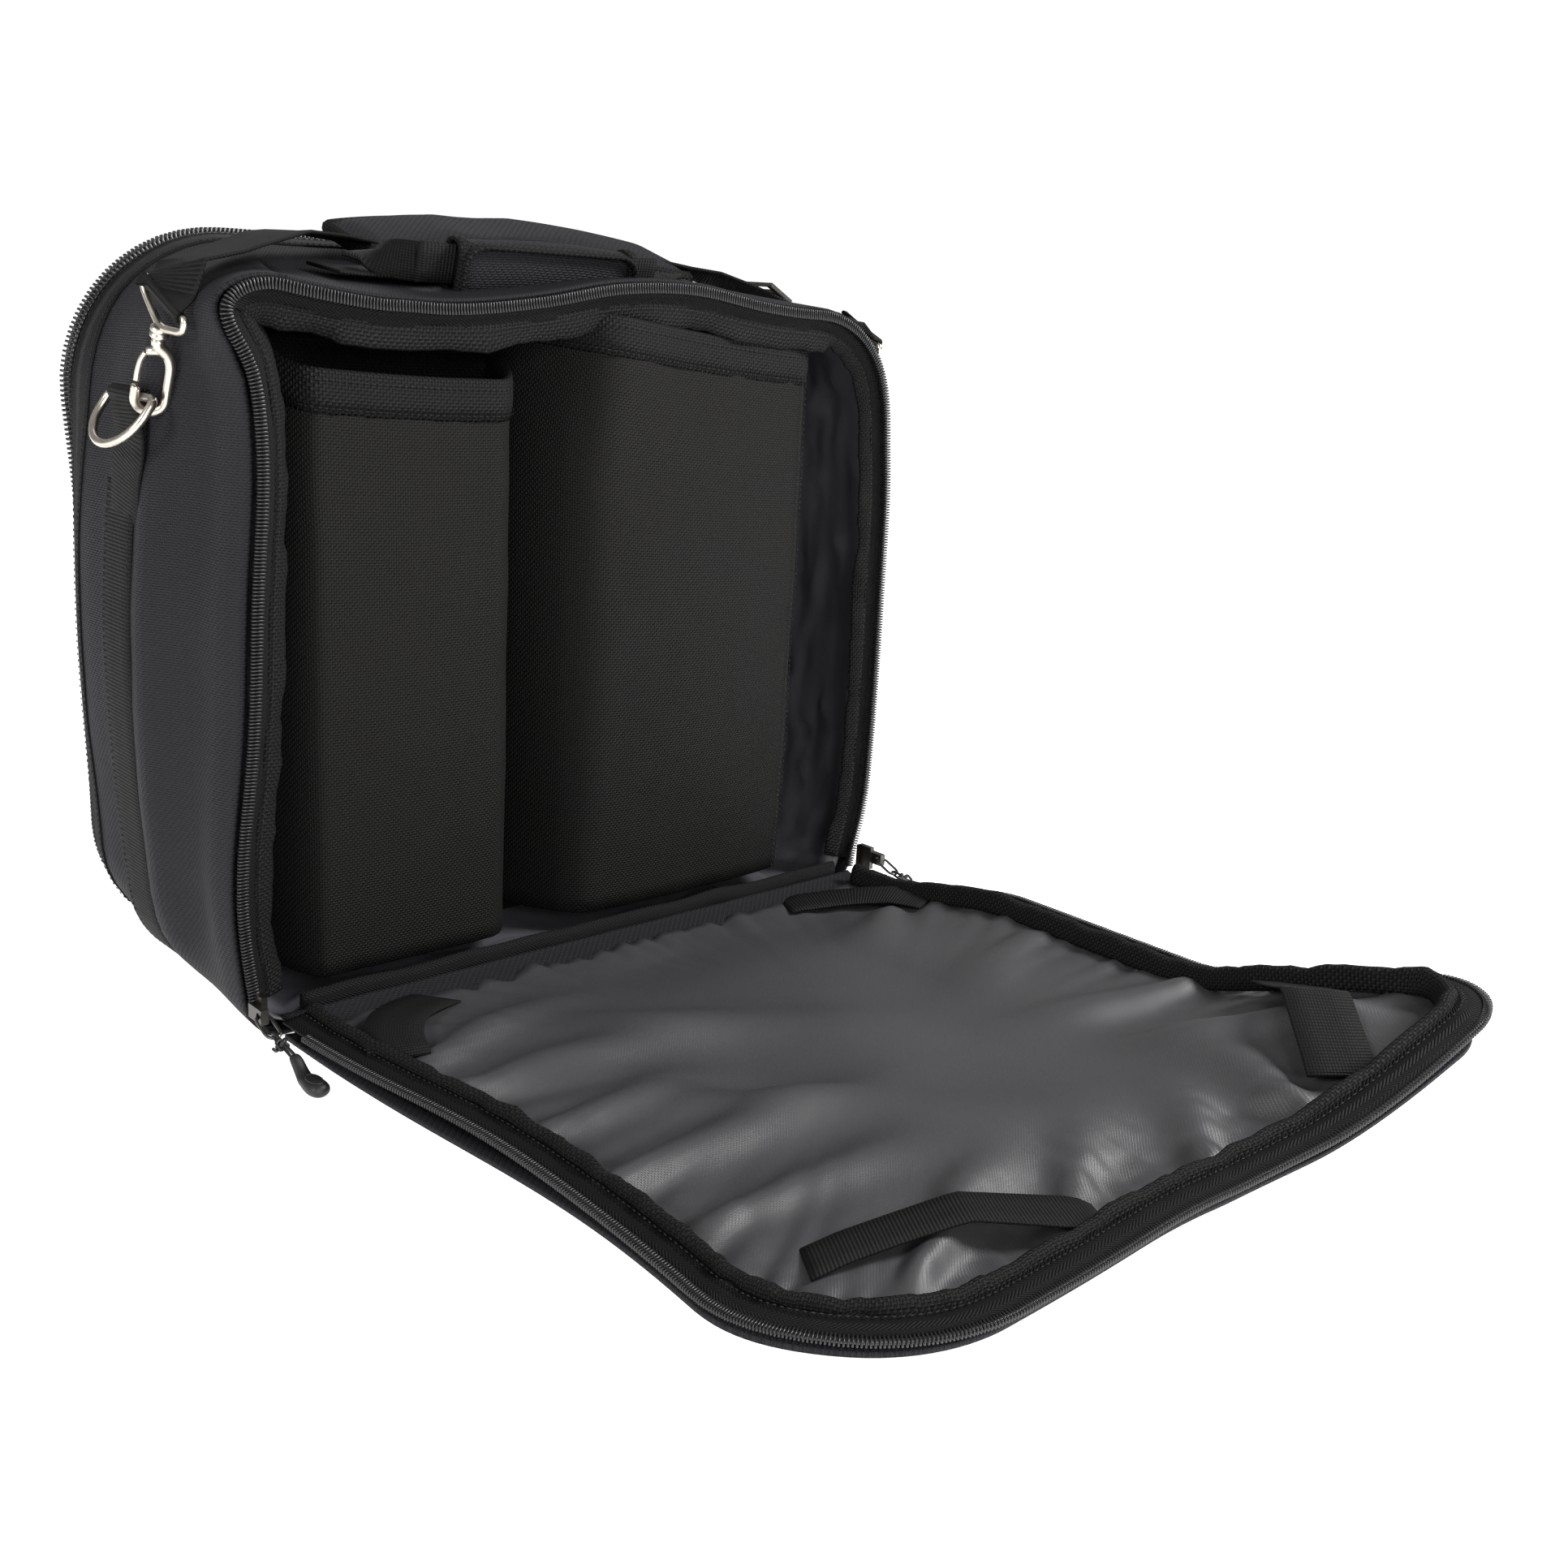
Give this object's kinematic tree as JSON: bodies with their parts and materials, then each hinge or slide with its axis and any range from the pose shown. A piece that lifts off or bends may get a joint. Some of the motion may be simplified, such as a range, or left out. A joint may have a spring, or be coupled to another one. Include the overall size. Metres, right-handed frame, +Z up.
{
  "type": "flight bag",
  "caption": "Soft-sided black nylon flight bag standing open, with its front flap folded down, inside pouches, hooked shoulder strap, pad and wrapped hand grip.",
  "frame": {"origin": "middle of the flat underside of the bag's base panel, the face the bag stands on", "axes": "+X to the bag's right as seen from the front, +Y from the open front to the rear, +Z up; the open front flap lies towards -Y"},
  "size_m": [0.4584, 0.5992, 0.3894],
  "materials": {
    "ballistic_nylon": "matte",
    "dark_metal": "satin",
    "foam": "matte",
    "lining_satin": "satin",
    "moulded_rubber": "matte",
    "nylon_twill": "matte",
    "satin_nickel": "satin",
    "stiffener_board": "matte",
    "webbing": "matte",
    "zip_coil": "glossy"
  },
  "bodies": {
    "bag": {"side_panel_left": "nylon_twill", "side_panel_right": "nylon_twill", "top_panel": "nylon_twill", "base_panel": "nylon_twill", "rear_zip_tape": "webbing", "main_lining": "lining_satin", "base_board": "stiffener_board", "divider_panel": "lining_satin", "partition_panel": "ballistic_nylon", "partition_board": "stiffener_board", "interior_loop": "webbing", "pouch_left": "ballistic_nylon", "pouch_right": "ballistic_nylon", "rim_zip_coil": "zip_coil", "rim_zip_tape": "webbing", "rim_binding": "webbing", "hinge_binding": "webbing", "rear_zip_coil": "zip_coil", "side_strap_left": "webbing", "side_strap_right": "webbing", "ring_loop_left": "webbing", "ring_loop_right": "webbing", "shoulder_strap_left": "webbing", "shoulder_strap_right": "webbing", "shoulder_pad": "nylon_twill", "hook_bail_left": "satin_nickel", "hook_bail_right": "satin_nickel", "handle_base_webbing": "webbing"},
    "front_flap": {"flap_outer_panel": "nylon_twill", "flap_foam": "foam", "flap_lining": "lining_satin", "flap_zip_tape": "webbing", "flap_zip_coil": "zip_coil", "flap_binding": "webbing", "flap_corner_band_far_left": "webbing", "flap_corner_band_far_right": "webbing", "flap_corner_band_near_left": "webbing", "flap_corner_band_near_right": "webbing"},
    "rear_door": {"rear_door_panel": "nylon_twill", "rear_door_zip_coil": "zip_coil"},
    "handle": {"handle_webbing": "webbing", "handle_wrap": "nylon_twill"},
    "adjuster": {"strap_adjuster": "dark_metal"},
    "rear_slider": {"rear_zip_slider": "dark_metal"},
    "rear_pull": {"rear_zip_pull": "dark_metal"},
    "ring_left": {"d_ring_left": "satin_nickel"},
    "hook_left": {"hook_body_left": "satin_nickel"},
    "gate_left": {"hook_gate_left": "satin_nickel"},
    "slider_left": {"zip_slider_left": "dark_metal"},
    "pull_left": {"zip_bail_left": "dark_metal", "zip_cord_left": "moulded_rubber", "zip_grip_left": "moulded_rubber"},
    "ring_right": {"d_ring_right": "satin_nickel"},
    "hook_right": {"hook_body_right": "satin_nickel"},
    "gate_right": {"hook_gate_right": "satin_nickel"},
    "slider_right": {"zip_slider_right": "dark_metal"},
    "pull_right": {"zip_bail_right": "dark_metal", "zip_cord_right": "moulded_rubber", "zip_grip_right": "moulded_rubber"}
  },
  "joints": [
    {"name": "front_flap_hinge", "type": "hinge", "parent": "bag", "child": "front_flap", "pos_m": [0, -0.107, 0.01], "axis": [-1, 0, 0], "range_deg": [0, 90]},
    {"name": "rear_door_hinge", "type": "hinge", "parent": "bag", "child": "rear_door", "pos_m": [0, 0.107, 0.01], "axis": [-1, 0, 0], "range_deg": [0, 88]},
    {"name": "handle_swing", "type": "hinge", "parent": "bag", "child": "handle", "pos_m": [-0.018, -0.03, 0.3567], "axis": [-1, 0, 0], "range_deg": [0, 75]},
    {"name": "zip_travel_left", "type": "slide", "parent": "bag", "child": "slider_left", "axis": [0, 0, 1], "range_m": [0, 0.265]},
    {"name": "zip_pull_swing_left", "type": "hinge", "parent": "slider_left", "child": "pull_left", "pos_m": [-0.2056, -0.107, 0.02], "axis": [-1, 0, 0], "range_deg": [-70, 90]},
    {"name": "d_ring_swing_left", "type": "hinge", "parent": "bag", "child": "ring_left", "pos_m": [-0.2125, -0.01, 0.292], "axis": [0, 1, 0], "range_deg": [-20, 100]},
    {"name": "hook_swivel_left", "type": "hinge", "parent": "bag", "child": "hook_left", "pos_m": [-0.2125, -0.04104, 0.31904], "axis": [0, 0.4067, -0.9135], "range_deg": [-35, 15]},
    {"name": "hook_gate_left", "type": "hinge", "parent": "hook_left", "child": "gate_left", "pos_m": [-0.21682, -0.03619, 0.31201], "axis": [-0.342, -0.8585, -0.3822], "range_deg": [0, 20], "stiffness_Nm_per_rad": 0.05},
    {"name": "zip_travel_right", "type": "slide", "parent": "bag", "child": "slider_right", "axis": [0, 0, 1], "range_m": [0, 0.265]},
    {"name": "zip_pull_swing_right", "type": "hinge", "parent": "slider_right", "child": "pull_right", "pos_m": [0.2056, -0.107, 0.02], "axis": [-1, 0, 0], "range_deg": [-70, 90]},
    {"name": "d_ring_swing_right", "type": "hinge", "parent": "bag", "child": "ring_right", "pos_m": [0.2125, -0.01, 0.292], "axis": [0, -1, 0], "range_deg": [-20, 100]},
    {"name": "hook_swivel_right", "type": "hinge", "parent": "bag", "child": "hook_right", "pos_m": [0.2125, -0.04104, 0.31904], "axis": [0, -0.4067, 0.9135], "range_deg": [-35, 15]},
    {"name": "hook_gate_right", "type": "hinge", "parent": "hook_right", "child": "gate_right", "pos_m": [0.21682, -0.03619, 0.31201], "axis": [-0.342, 0.8585, 0.3822], "range_deg": [0, 20], "stiffness_Nm_per_rad": 0.05},
    {"name": "rear_zip_travel", "type": "slide", "parent": "bag", "child": "rear_slider", "axis": [0, 0, 1], "range_m": [0, 0.205]},
    {"name": "rear_pull_swing", "type": "hinge", "parent": "rear_slider", "child": "rear_pull", "pos_m": [0.2056, 0.107, 0.064], "axis": [1, 0, 0], "range_deg": [0, 150]},
    {"name": "adjuster_slide", "type": "slide", "parent": "bag", "child": "adjuster", "axis": [-0.659, 0.659, 0.3625], "range_m": [-0.006, 0.006]}
  ]
}
